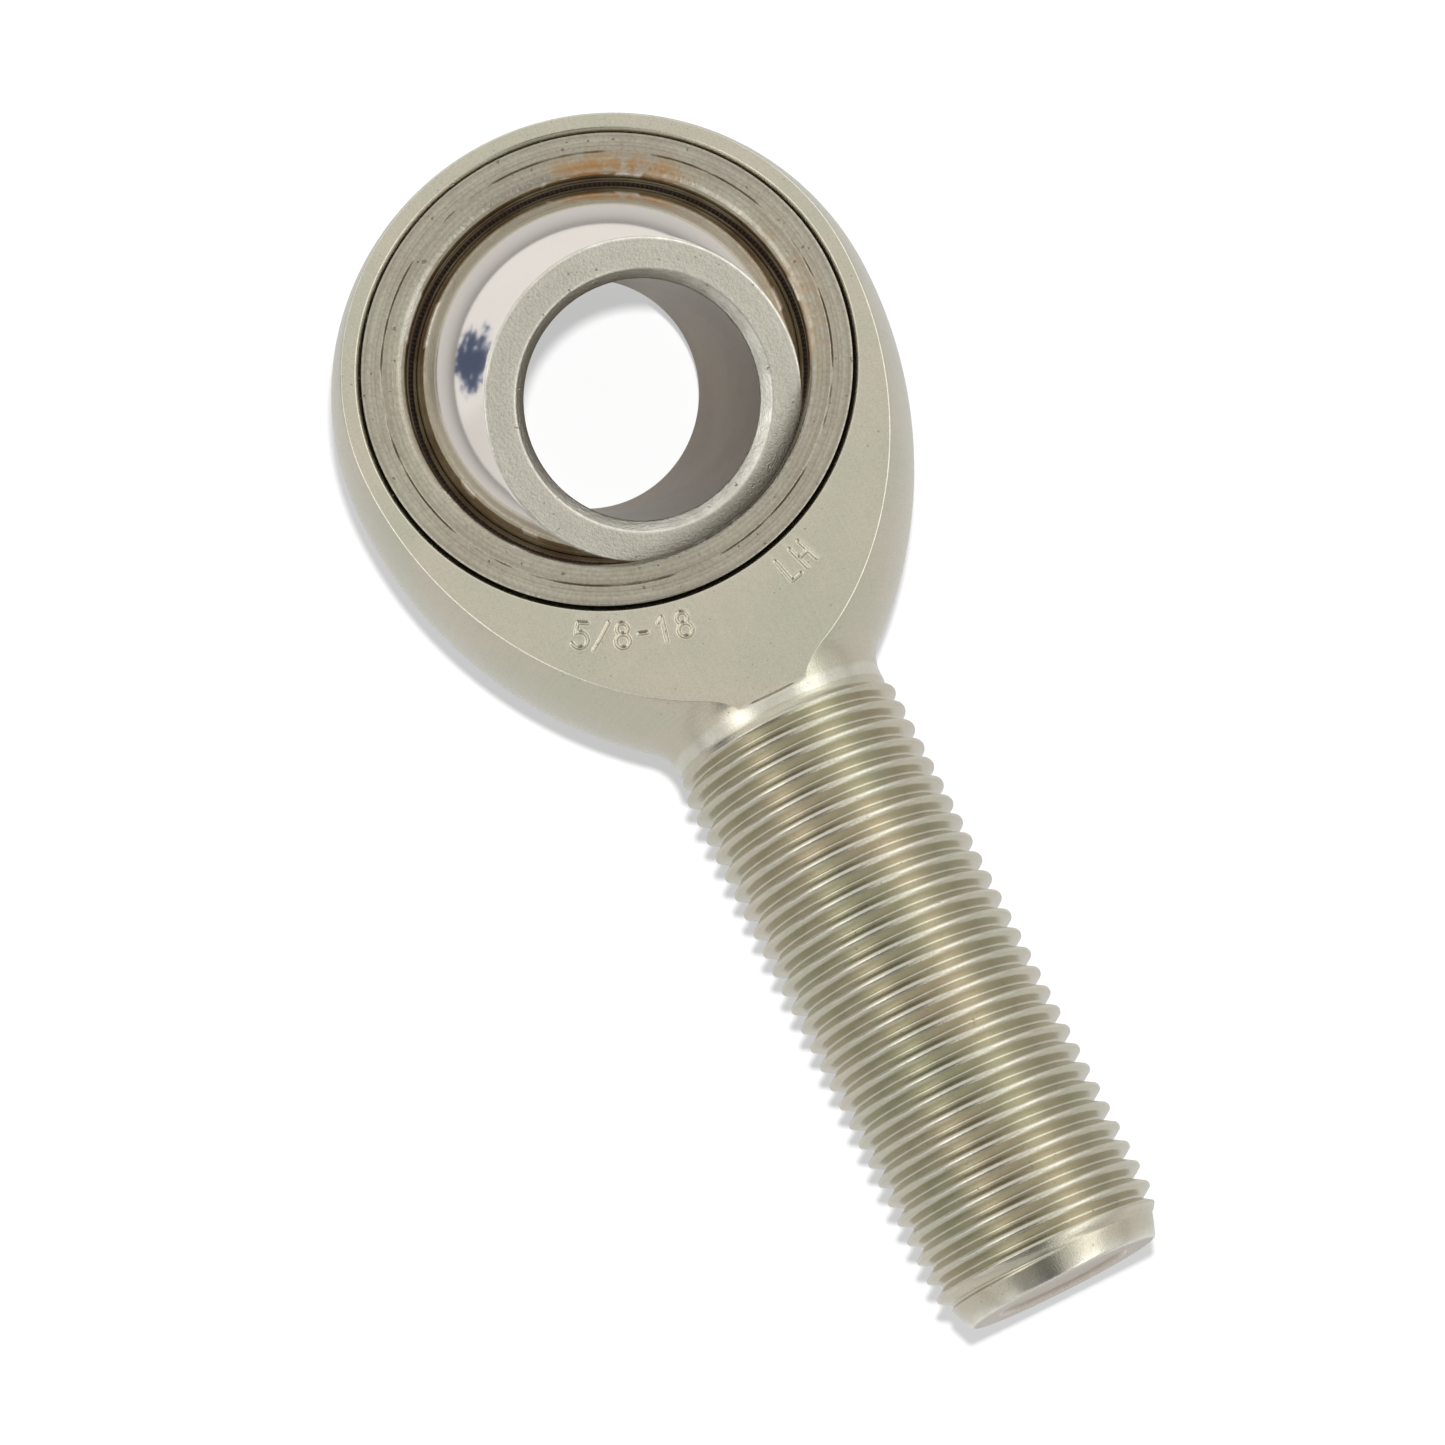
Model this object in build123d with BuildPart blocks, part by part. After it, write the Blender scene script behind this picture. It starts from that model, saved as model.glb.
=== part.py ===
"""Male rod end bearing, 5/8 inch, with a left-hand thread, in millimetres.

The origin is the ball's centre. +Z is the axis of the race and +X runs along the shank
towards its threaded end. The ball rests tilted in its race.
"""

import os
from math import cos, radians, sin, sqrt

from build123d import *

INCH = 25.4

# Body: a ball-ended forging, turned about the shank's axis and faced on two sides
head_radius = 1.500 * INCH / 2
head_width = 0.562 * INCH
underside_radius = 30.5  # long arc from the widest point down to the neck
neck_radius = 7.48
neck_blend = 3.0
facing_radius = 24.7  # the facing cut's sweep about the bore, which leaves the neck proud
facing_corner = 0.6
body_length = 2.625 * INCH  # bore axis to the end of the shank

# Thread: 5/8-18 UNF, left hand, rolled, so its crests stand proud of the neck
pitch = INCH / 18
crest_radius = 7.89
root_radius = 7.07
root_half_width = 0.09
flank_slope = 0.5774  # tan 30 degrees
thread_start = 27.3  # where the full crest diameter begins
crest_at = 28.16  # place of one crest along +X, on the +Y side
shoulder_length = 0.5
taper_radius = 7.15
tip_radius = 6.65
taper_length = 1.45
crest_fall_length = 0.67  # the last crests come down to the taper over this length
groove_short_of_taper = 0.2
cutter_above_crest = 0.13
dimple_radius = 4.5
dimple_depth = 0.25
dimple_slope = 45

# Race: a ring staked into the body's chamfered bore
race_radius = 1.250 * INCH / 2
stake_flare = 0.55
seat_chamfer = 0.68
lip_radius = 13.3  # mouth of the race
lip_round = 0.4
stake_groove_radius = 14.95
stake_groove_width = 0.2
stake_groove_depth = 0.3

# Liner: a thin woven layer between race and ball
liner_thickness = 0.30
liner_half_height = 5.7
running_gap = 0.015

# Ball: a truncated sphere with a chamfered bore
ball_radius = 1.125 * INCH / 2
ball_width = 0.750 * INCH
bore_radius = 0.625 * INCH / 2
bore_chamfer = 0.7
rest_tilt = 24.1  # degrees between the ball's bore and +Z
tilt_heading = 17.2  # degrees from +X towards +Y, the way that the bore leans

match_tolerance = 0.01

half_width = head_width / 2
liner_inner = ball_radius + running_gap
liner_outer = liner_inner + liner_thickness
race_inner = liner_outer + running_gap
lean = radians(rest_tilt)
heading = radians(tilt_heading)
bore_axis = Vector(sin(lean) * cos(heading), sin(lean) * sin(heading), cos(lean))

os.makedirs("parts", exist_ok=True)

# Threaded body
underside_drop = underside_radius - head_radius
neck_x = sqrt(underside_radius**2 - (neck_radius + underside_drop) ** 2)
quarter = head_radius / sqrt(2)
mid_x = neck_x / 2
mid_y = sqrt(underside_radius**2 - mid_x**2) - underside_drop
taper_x = body_length - taper_length
groove_x = crest_at + pitch / 4  # the groove starts on the +Z side, a quarter turn before +Y
groove_length = taper_x - groove_short_of_taper - groove_x
groove_height = crest_radius - root_radius + cutter_above_crest
mouth_half_width = root_half_width + groove_height * flank_slope

with BuildPart() as threaded_body:
    with BuildSketch(Plane.XY) as half_outline:
        with BuildLine():
            ThreePointArc((-head_radius, 0), (-quarter, quarter), (0, head_radius))
            ThreePointArc((0, head_radius), (mid_x, mid_y), (neck_x, neck_radius))
            Polyline(
                (neck_x, neck_radius),
                (thread_start - shoulder_length, neck_radius),
                (thread_start, crest_radius),
                (taper_x - crest_fall_length, crest_radius),
                (taper_x, taper_radius),
                (body_length, tip_radius),
                (body_length, 0),
                (-head_radius, 0),
            )
        make_face()
        blend_corner = half_outline.vertices().sort_by_distance((neck_x, neck_radius))[0]
        fillet(blend_corner, radius=neck_blend)
    revolve(axis=Axis.X)
    for side in (1, -1):
        with BuildSketch(Plane.XY.offset(side * half_width)):
            Circle(facing_radius)
        facing = extrude(amount=side * head_radius, mode=Mode.PRIVATE)
        rim = facing.edges().filter_by(GeomType.CIRCLE).sort_by(Axis.Z)
        facing = facing.fillet(facing_corner, [rim[0] if side > 0 else rim[-1]])
        add(facing, mode=Mode.SUBTRACT)
    with BuildSketch(Plane.XY):
        Circle(race_radius)
    extrude(amount=head_radius, both=True, mode=Mode.SUBTRACT)
    seat_edges = threaded_body.edges().filter_by(
        lambda e: e.geom_type == GeomType.CIRCLE
        and abs(e.radius - race_radius) < match_tolerance
        and abs(abs(e.center().Z) - half_width) < match_tolerance
    )
    chamfer(seat_edges, length=seat_chamfer)
    with BuildSketch(Plane.YZ.offset(body_length)):
        Circle(dimple_radius)
    extrude(amount=-dimple_depth, taper=dimple_slope, mode=Mode.SUBTRACT)
    with BuildLine() as groove_path:
        Helix(
            pitch,
            groove_length,
            root_radius,
            center=(groove_x, 0, 0),
            direction=(1, 0, 0),
            lefthand=True,
        )
    groove_plane = Plane(origin=groove_path.line @ 0, x_dir=(1, 0, 0), z_dir=(0, 1, 0))
    with BuildSketch(groove_plane) as groove_section:
        with BuildLine():
            Polyline(
                (-root_half_width, 0),
                (root_half_width, 0),
                (mouth_half_width, -groove_height),
                (-mouth_half_width, -groove_height),
                close=True,
            )
        make_face()
    sweep(
        groove_section.sketch,
        path=groove_path.line,
        is_frenet=True,
        mode=Mode.SUBTRACT,
    )
threaded_body.part.label = "threaded_body"
export_step(threaded_body.part, "parts/threaded_body.step")

# Race: a turned ring with a spherical inside, a straight mouth at each end and flared rims
mouth_z = sqrt(race_inner**2 - lip_radius**2)
with BuildPart() as race:
    with BuildSketch(Plane.XZ) as race_section:
        with BuildLine():
            ThreePointArc((lip_radius, -mouth_z), (race_inner, 0), (lip_radius, mouth_z))
            Polyline(
                (lip_radius, mouth_z),
                (lip_radius, half_width),
                (race_radius + stake_flare, half_width),
                (race_radius, half_width - stake_flare),
                (race_radius, stake_flare - half_width),
                (race_radius + stake_flare, -half_width),
                (lip_radius, -half_width),
                (lip_radius, -mouth_z),
            )
        make_face()
        mouth_corners = [
            race_section.vertices().sort_by_distance((lip_radius, side * half_width))[0]
            for side in (1, -1)
        ]
        fillet(mouth_corners, radius=lip_round)
        for side in (1, -1):
            with Locations((stake_groove_radius, side * half_width)):
                Rectangle(stake_groove_width, 2 * stake_groove_depth, mode=Mode.SUBTRACT)
    revolve(axis=Axis.Z)
race.part.label = "race"
export_step(race.part, "parts/race.step")

# Liner: a spherical layer with flat edges
liner_outer_edge = sqrt(liner_outer**2 - liner_half_height**2)
liner_inner_edge = sqrt(liner_inner**2 - liner_half_height**2)
with BuildPart() as liner:
    with BuildSketch(Plane.XZ):
        with BuildLine():
            ThreePointArc(
                (liner_outer_edge, -liner_half_height),
                (liner_outer, 0),
                (liner_outer_edge, liner_half_height),
            )
            Line((liner_outer_edge, liner_half_height), (liner_inner_edge, liner_half_height))
            ThreePointArc(
                (liner_inner_edge, liner_half_height),
                (liner_inner, 0),
                (liner_inner_edge, -liner_half_height),
            )
            Line((liner_inner_edge, -liner_half_height), (liner_outer_edge, -liner_half_height))
        make_face()
    revolve(axis=Axis.Z)
liner.part.label = "liner"
export_step(liner.part, "parts/liner.step")

# Ball: turned about its own leaning bore axis
ball_plane = Plane(origin=(0, 0, 0), z_dir=bore_axis)
face_radius = sqrt(ball_radius**2 - (ball_width / 2) ** 2)
with BuildPart() as ball:
    with BuildSketch(Plane(origin=(0, 0, 0), x_dir=ball_plane.x_dir, z_dir=ball_plane.y_dir)):
        with BuildLine():
            ThreePointArc(
                (face_radius, -ball_width / 2),
                (ball_radius, 0),
                (face_radius, ball_width / 2),
            )
            Polyline(
                (face_radius, ball_width / 2),
                (bore_radius + bore_chamfer, ball_width / 2),
                (bore_radius, ball_width / 2 - bore_chamfer),
                (bore_radius, bore_chamfer - ball_width / 2),
                (bore_radius + bore_chamfer, -ball_width / 2),
                (face_radius, -ball_width / 2),
            )
        make_face()
    revolve(axis=Axis((0, 0, 0), bore_axis))
ball.part.label = "ball"
export_step(ball.part, "parts/ball.step")
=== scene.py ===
"""Rod end bearing, 5/8 inch with a left-hand thread: finished surfaces and materials around the frame."""

import logging
import math
from dataclasses import dataclass, field, replace
from enum import Enum

import bmesh
import bpy
import numpy as np
from mathutils import Matrix, Vector


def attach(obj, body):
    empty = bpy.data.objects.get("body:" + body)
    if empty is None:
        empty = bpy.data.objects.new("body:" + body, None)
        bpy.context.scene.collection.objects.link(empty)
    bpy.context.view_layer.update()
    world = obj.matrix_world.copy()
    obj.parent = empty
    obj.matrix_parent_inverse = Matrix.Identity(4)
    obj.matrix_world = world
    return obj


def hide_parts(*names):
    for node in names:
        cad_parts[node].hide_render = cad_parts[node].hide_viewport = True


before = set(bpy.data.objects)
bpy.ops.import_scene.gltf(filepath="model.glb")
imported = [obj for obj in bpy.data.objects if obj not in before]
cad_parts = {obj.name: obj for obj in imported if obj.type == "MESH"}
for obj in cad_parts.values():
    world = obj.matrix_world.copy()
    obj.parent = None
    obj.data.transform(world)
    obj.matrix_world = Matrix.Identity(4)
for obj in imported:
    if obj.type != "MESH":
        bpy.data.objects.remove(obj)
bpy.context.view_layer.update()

log = logging.getLogger("rod_end")

MM = 0.001
TURN = 2.0 * math.pi


class Zone(Enum):
    """Material slots of a piece, in the order in which its mesh holds them."""

    MAIN = 0
    FACE = 1
    BORE = 2


class Body(Enum):
    """The CAD bodies that the pieces ride on."""

    HOUSING = "housing"
    LINER = "liner"
    BALL = "ball"


# --------------------------------------------------------------------------- mesh tools


@dataclass
class Surface:
    """A mesh gathered from grids of points in millimetres, welded when it is finished."""

    points: list[np.ndarray] = field(default_factory=list)
    faces: list[np.ndarray] = field(default_factory=list)
    zones: list[np.ndarray] = field(default_factory=list)
    marks: list[np.ndarray] = field(default_factory=list)
    count: int = 0

    def add_grid(
        self,
        grid: np.ndarray,
        closed: bool = False,
        flip: bool = False,
        zone: Zone | np.ndarray = Zone.MAIN,
        mark: np.ndarray | float = 0.0,
    ) -> None:
        """Adds a grid of quads.

        Args:
            grid: points, rows by columns by 3.
            closed: whether the last column joins the first.
            flip: whether to turn the faces over.
            zone: the material slot of the faces, or a slot number for each step between rows.
            mark: the wear-and-highlight mark of each point, or one for all.
        """
        rows, columns = grid.shape[:2]
        number = np.arange(rows * columns).reshape(rows, columns) + self.count
        right = np.roll(number, -1, axis=1) if closed else number[:, 1:]
        left = number if closed else number[:, :-1]
        quads = np.stack([left[:-1], right[:-1], right[1:], left[1:]], axis=-1).reshape(-1, 4)
        self.points.append(grid.reshape(-1, 3))
        self.faces.append(quads[:, ::-1] if flip else quads)
        slots = np.full(rows - 1, zone.value) if isinstance(zone, Zone) else zone
        self.zones.append(np.repeat(slots, len(quads) // (rows - 1)))
        self.marks.append(np.broadcast_to(np.asarray(mark, float), (rows, columns)).ravel())
        self.count += rows * columns

    def build(self, name: str, axes: np.ndarray | None = None) -> bpy.types.Object:
        """Makes the welded, smooth-shaded object.

        Args:
            name: the piece's name.
            axes: a 3 by 3 matrix that turns the points, or None.

        Returns:
            The object, at the origin.
        """
        points = np.concatenate(self.points)
        if axes is not None:
            points = points @ axes.T
        faces = np.concatenate(self.faces)
        mesh = bpy.data.meshes.new(name)
        mesh.vertices.add(len(points))
        mesh.vertices.foreach_set("co", (points * MM).ravel())
        mesh.loops.add(faces.size)
        mesh.loops.foreach_set("vertex_index", faces.ravel())
        mesh.polygons.add(len(faces))
        mesh.polygons.foreach_set("loop_start", np.arange(0, faces.size, 4))
        mesh.update(calc_edges=True)
        mesh.polygons.foreach_set("material_index", np.concatenate(self.zones))
        wear_and_highlight = mesh.attributes.new("wear_and_highlight", "FLOAT", "POINT")
        wear_and_highlight.data.foreach_set("value", np.concatenate(self.marks))
        shape = bmesh.new()
        shape.from_mesh(mesh)
        bmesh.ops.remove_doubles(shape, verts=shape.verts, dist=2e-7)
        bmesh.ops.dissolve_degenerate(shape, edges=shape.edges, dist=1e-8)
        bmesh.ops.recalc_face_normals(shape, faces=shape.faces)
        if shape.calc_volume(signed=True) < 0:
            bmesh.ops.reverse_faces(shape, faces=shape.faces)
        open_edges = sum(1 for edge in shape.edges if not edge.is_manifold)
        volume = shape.calc_volume(signed=True)
        shape.to_mesh(mesh)
        shape.free()
        mesh.polygons.foreach_set("use_smooth", np.ones(len(mesh.polygons), bool))
        triangles = sum(len(polygon.vertices) - 2 for polygon in mesh.polygons)
        log.info("%s: %d triangles, %d open edges, %.1f mm3", name, triangles, open_edges, volume * 1e9)
        piece = bpy.data.objects.new(name, mesh)
        bpy.context.scene.collection.objects.link(piece)
        return piece


def smooth_step(t: np.ndarray) -> np.ndarray:
    """Rises from 0 to 1 with level ends: t squared times (3 - 2 t), t held between 0 and 1."""
    t = np.clip(t, 0.0, 1.0)
    return t * t * (3.0 - 2.0 * t)


def bend(start: np.ndarray, corner: np.ndarray, end: np.ndarray, steps: int) -> np.ndarray:
    """Rounds a corner with a quadratic curve.

    Args:
        start: where the rounding leaves the first wall, shape (..., 3).
        corner: the sharp corner.
        end: where the rounding meets the second wall.
        steps: how many segments the curve has.

    Returns:
        The steps + 1 points, with the step as the first axis.
    """
    t = np.linspace(0.0, 1.0, steps + 1).reshape((-1,) + (1,) * np.ndim(start))
    return (1 - t) ** 2 * start + 2 * t * (1 - t) * corner + t**2 * end


def rounded_loop(corners: list[tuple[float, float, float]], steps: int, spacing: float) -> np.ndarray:
    """A profile in two dimensions whose corners are rounded and whose runs are divided.

    Each corner (a, b, size) becomes a quadratic curve that starts and ends at size from it.
    A short extra step beside each curve keeps the walls flat in shading.

    Args:
        corners: the corners, in order; the profile is closed.
        steps: segments in each rounded corner.
        spacing: the longest step along a run.

    Returns:
        The points of the closed profile, n by 2.
    """
    nodes = np.array([c[:2] for c in corners], float)
    sizes = np.array([c[2] for c in corners], float)
    before = np.roll(nodes, 1, axis=0) - nodes
    after = np.roll(nodes, -1, axis=0) - nodes
    starts = nodes + before / np.linalg.norm(before, axis=1)[:, None] * sizes[:, None]
    ends = nodes + after / np.linalg.norm(after, axis=1)[:, None] * sizes[:, None]
    curves = bend(starts, nodes, ends, steps)
    out = []
    for k in range(len(nodes)):
        out.append(curves[:, k] if sizes[k] > 0 else nodes[k : k + 1])
        run_start, run_end = ends[k], starts[(k + 1) % len(nodes)]
        length = float(np.linalg.norm(run_end - run_start))
        parts = max(1, math.ceil(length / spacing))
        share = min(0.25, 0.5 * max(sizes[k], 0.05) / max(length, 1e-6))
        inner = np.linspace(share, 1 - share, parts + 1)
        out.append(run_start + (run_end - run_start) * inner[:, None])
    return np.concatenate(out)


def arc_points(radius: float, start: float, end: float, count: int) -> np.ndarray:
    """Points (radius cos a, radius sin a) for count angles a from start to end."""
    angle = np.linspace(start, end, count)
    return np.stack([radius * np.cos(angle), radius * np.sin(angle)], axis=1)


def turned(profile: np.ndarray, columns: int) -> np.ndarray:
    """Turns a profile about Z: each (radius, height) becomes (radius cos a, radius sin a, height).

    Args:
        profile: radii and heights, n by 2.
        columns: the number of angles a in a full turn.

    Returns:
        The grid, n by columns by 3.
    """
    angle = np.linspace(0.0, TURN, columns, endpoint=False)
    radius = profile[:, 0, None]
    height = np.broadcast_to(profile[:, 1, None], (len(profile), columns))
    return np.stack([radius * np.cos(angle), radius * np.sin(angle), height], axis=-1)


# --------------------------------------------------------------------------- node tools


@dataclass
class NodeSheet:
    """A node tree with short ways to add and join nodes."""

    tree: bpy.types.NodeTree

    def add(self, kind: str, **settings: object) -> bpy.types.Node:
        """Adds a node.

        Args:
            kind: the node's type name.
            settings: its properties.

        Returns:
            The node.
        """
        node = self.tree.nodes.new(kind)
        for key, value in settings.items():
            setattr(node, key, value)
        return node

    def join(self, source: bpy.types.NodeSocket, target: bpy.types.NodeSocket) -> None:
        """Links two sockets."""
        self.tree.links.new(source, target)

    def feed(self, target: bpy.types.NodeSocket, value: object) -> None:
        """Links a socket or sets a plain value.

        Args:
            target: the input to feed.
            value: a socket to link, or the value to set.
        """
        if isinstance(value, bpy.types.NodeSocket):
            self.join(value, target)
        else:
            target.default_value = value

    def math(self, operation: str, a: object, b: object = 0.0, c: object = 0.0) -> bpy.types.NodeSocket:
        """Adds a Math node on up to three values.

        Args:
            operation: the node's operation.
            a: the first value, a socket or a number, as are the others.
            b: the second value.
            c: the third value.

        Returns:
            The node's output.
        """
        node = self.add("ShaderNodeMath", operation=operation)
        for socket, value in zip(node.inputs, (a, b, c)):
            self.feed(socket, value)
        return node.outputs[0]

    def blend(self, factor: object, a: object, b: object) -> bpy.types.NodeSocket:
        """Adds a colour Mix node.

        Args:
            factor: how much of b shows.
            a: the first colour.
            b: the second colour.

        Returns:
            The mixed colour's socket.
        """
        node = self.add("ShaderNodeMix", data_type="RGBA")
        self.feed(node.inputs[0], factor)
        self.feed(node.inputs[6], a)
        self.feed(node.inputs[7], b)
        return node.outputs[2]

    def band(self, value: object, low: object, high: object) -> bpy.types.NodeSocket:
        """Maps a value from low..high to 0..1 with level ends, held beyond them.

        Args:
            value: the value's socket.
            low: where the result is 0, a socket or a number.
            high: where the result is 1, the same.

        Returns:
            The result's socket.
        """
        node = self.add("ShaderNodeMapRange", interpolation_type="SMOOTHSTEP")
        self.feed(node.inputs[0], value)
        self.feed(node.inputs[1], low)
        self.feed(node.inputs[2], high)
        return node.outputs[0]

    def noise(
        self, vector: object, scale: object, detail: float = 2.0, rough: float = 0.5
    ) -> bpy.types.NodeSocket:
        """Adds a Noise texture.

        Args:
            vector: the place's socket.
            scale: the pattern's scale, in units to the metre.
            detail: how many finer layers it has.
            rough: how strong the finer layers are.

        Returns:
            The factor's socket.
        """
        node = self.add("ShaderNodeTexNoise")
        self.feed(node.inputs["Vector"], vector)
        self.feed(node.inputs["Scale"], scale)
        self.feed(node.inputs["Detail"], detail)
        self.feed(node.inputs["Roughness"], rough)
        return node.outputs[0]


def new_group(name: str, inputs: dict[str, float], outputs: dict[str, str]) -> tuple[NodeSheet, dict, dict]:
    """Starts a shader node group.

    Args:
        name: the group's name.
        inputs: float inputs and their defaults.
        outputs: output names and their socket types.

    Returns:
        The group's sheet, its input sockets and its output sockets, by name.
    """
    tree = bpy.data.node_groups.new(name, "ShaderNodeTree")
    for key, value in inputs.items():
        socket = tree.interface.new_socket(key, in_out="INPUT", socket_type="NodeSocketFloat")
        socket.default_value = value
    for key, kind in outputs.items():
        tree.interface.new_socket(key, in_out="OUTPUT", socket_type=kind)
    sheet = NodeSheet(tree)
    entry = sheet.add("NodeGroupInput")
    leave = sheet.add("NodeGroupOutput")
    return sheet, {s.name: s for s in entry.outputs}, {s.name: s for s in leave.inputs}


FLOAT = "NodeSocketFloat"


def speckle_group() -> bpy.types.NodeTree:
    """Fine specks, pits and soft cloudy patches over a plated surface.

    Returns:
        The group, with the outputs Grain, Pits and Clouds, each from 0 to 1.
    """
    sheet, given, out = new_group(
        "surface_speckle",
        {"Grain Size": 0.12, "Pit Share": 0.3},
        {"Grain": FLOAT, "Pits": FLOAT, "Clouds": FLOAT},
    )
    place = sheet.add("ShaderNodeTexCoord").outputs["Object"]
    fine = sheet.math("DIVIDE", 1000.0, given["Grain Size"])
    sheet.join(sheet.noise(place, fine, 3.0, 0.65), out["Grain"])
    pit_scale, no_pits, pit_range, pit_edge, cloud_scale = 0.45, 0.78, 0.25, 0.06, 160.0
    pit = sheet.noise(place, sheet.math("MULTIPLY", fine, pit_scale), 2.0, 0.5)
    edge = sheet.math("SUBTRACT", no_pits, sheet.math("MULTIPLY", given["Pit Share"], pit_range))
    above = sheet.math("SUBTRACT", pit, edge)
    sheet.join(sheet.band(above, 0.0, pit_edge), out["Pits"])
    sheet.join(sheet.noise(place, cloud_scale, 4.0, 0.6), out["Clouds"])
    return sheet.tree


def turning_group() -> bpy.types.NodeTree:
    """Fine ring marks that a lathe leaves about an axis given as Radius.

    Returns:
        The group, with the output Rings from 0 to 1.
    """
    sheet, given, out = new_group(
        "turning_marks", {"Radius": 0.0, "Spacing": 0.15, "Wander": 0.3}, {"Rings": FLOAT}
    )
    place = sheet.add("ShaderNodeTexCoord").outputs["Object"]
    wander_scale = 90.0
    wander = sheet.math("MULTIPLY", sheet.noise(place, wander_scale, 2.0, 0.5), given["Wander"])
    step = sheet.math("ADD", sheet.math("DIVIDE", given["Radius"], given["Spacing"]), wander)
    line = sheet.add("ShaderNodeCombineXYZ")
    sheet.join(step, line.inputs[0])
    sheet.join(sheet.noise(line.outputs[0], 1.0, 3.0, 0.7), out["Rings"])
    return sheet.tree


def wear_and_highlight_group() -> bpy.types.NodeTree:
    """Bright worn edges and painted highlights, broken up by nicks, from the mesh's wear-and-highlight
    attribute, which carries both.

    Returns:
        The group, with the output Wear And Highlight from 0 to 1.
    """
    sheet, given, out = new_group("edge_wear", {"Amount": 1.0, "Break Up": 0.5}, {"Wear And Highlight": FLOAT})
    mark = sheet.add("ShaderNodeAttribute", attribute_name="wear_and_highlight").outputs["Fac"]
    place = sheet.add("ShaderNodeTexCoord").outputs["Object"]
    nick_scale = 700.0
    patchy = sheet.band(sheet.noise(place, nick_scale, 3.0, 0.6), 0.35, 0.62)
    keep = sheet.math("SUBTRACT", 1.0, sheet.math("MULTIPLY", given["Break Up"], patchy))
    worn_and_highlit = sheet.math("MULTIPLY", sheet.math("MULTIPLY", mark, keep), given["Amount"])
    sheet.join(worn_and_highlit, out["Wear And Highlight"])
    return sheet.tree


def stain_group() -> bpy.types.NodeTree:
    """Oil and rust marks near the race's mouth, strongest round one bearing about Z.

    Returns:
        The group, with the outputs Rust and Oil from 0 to 1.
    """
    sheet, given, out = new_group(
        "mouth_stain",
        {"Bearing X": -1.0, "Bearing Y": 0.0, "Inner": 13.2, "Outer": 15.6},
        {"Rust": FLOAT, "Oil": FLOAT},
    )
    place = sheet.add("ShaderNodeTexCoord").outputs["Object"]
    parts = sheet.add("ShaderNodeSeparateXYZ")
    sheet.join(place, parts.inputs[0])
    x = sheet.math("MULTIPLY", parts.outputs[0], 1000.0)
    y = sheet.math("MULTIPLY", parts.outputs[1], 1000.0)
    radius = sheet.math("SQRT", sheet.math("ADD", sheet.math("MULTIPLY", x, x), sheet.math("MULTIPLY", y, y)))
    along = sheet.math(
        "ADD", sheet.math("MULTIPLY", x, given["Bearing X"]), sheet.math("MULTIPLY", y, given["Bearing Y"])
    )
    facing = sheet.math("DIVIDE", along, radius)
    spread_edge, spread_core, spot_scale, film_scale = 0.9, 0.995, 900.0, 260.0
    side = sheet.band(facing, spread_edge, spread_core)
    near = sheet.math("SUBTRACT", 1.0, sheet.band(radius, given["Inner"], given["Outer"]))
    cloud = sheet.noise(place, spot_scale, 4.0, 0.7)
    spots = sheet.band(cloud, 0.40, 0.58)
    sheet.join(sheet.math("MULTIPLY", sheet.math("MULTIPLY", near, side), spots), out["Rust"])
    film = sheet.band(sheet.noise(place, film_scale, 3.0, 0.6), 0.4, 0.75)
    sheet.join(sheet.math("MULTIPLY", near, film), out["Oil"])
    return sheet.tree


@dataclass
class GroupShelf:
    """The shared node groups, each built once."""

    speckle: bpy.types.NodeTree = field(default_factory=speckle_group)
    turning: bpy.types.NodeTree = field(default_factory=turning_group)
    wear_and_highlight: bpy.types.NodeTree = field(default_factory=wear_and_highlight_group)
    stain: bpy.types.NodeTree = field(default_factory=stain_group)


def place_group(sheet: NodeSheet, tree: bpy.types.NodeTree, **values: object) -> dict:
    """Places a group in a material.

    Args:
        sheet: the material's sheet.
        tree: the group.
        values: input values, with underscores for the blanks in a name.

    Returns:
        The group's output sockets, by name.
    """
    node = sheet.add("ShaderNodeGroup", node_tree=tree)
    for key, value in values.items():
        sheet.feed(node.inputs[key.replace("_", " ")], value)
    return {s.name: s for s in node.outputs}


def reach(sheet: NodeSheet, direction: Vector) -> bpy.types.NodeSocket:
    """Distance from an axis through the origin, in millimetres: |place x direction|.

    Args:
        sheet: the material's sheet.
        direction: the axis, a unit vector.

    Returns:
        The distance's socket.
    """
    cross = sheet.add("ShaderNodeVectorMath", operation="CROSS_PRODUCT")
    sheet.join(sheet.add("ShaderNodeTexCoord").outputs["Object"], cross.inputs[0])
    cross.inputs[1].default_value = direction
    size = sheet.add("ShaderNodeVectorMath", operation="LENGTH")
    sheet.join(cross.outputs[0], size.inputs[0])
    return sheet.math("MULTIPLY", size.outputs["Value"], 1000.0)


Colour = tuple[float, float, float, float]


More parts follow.
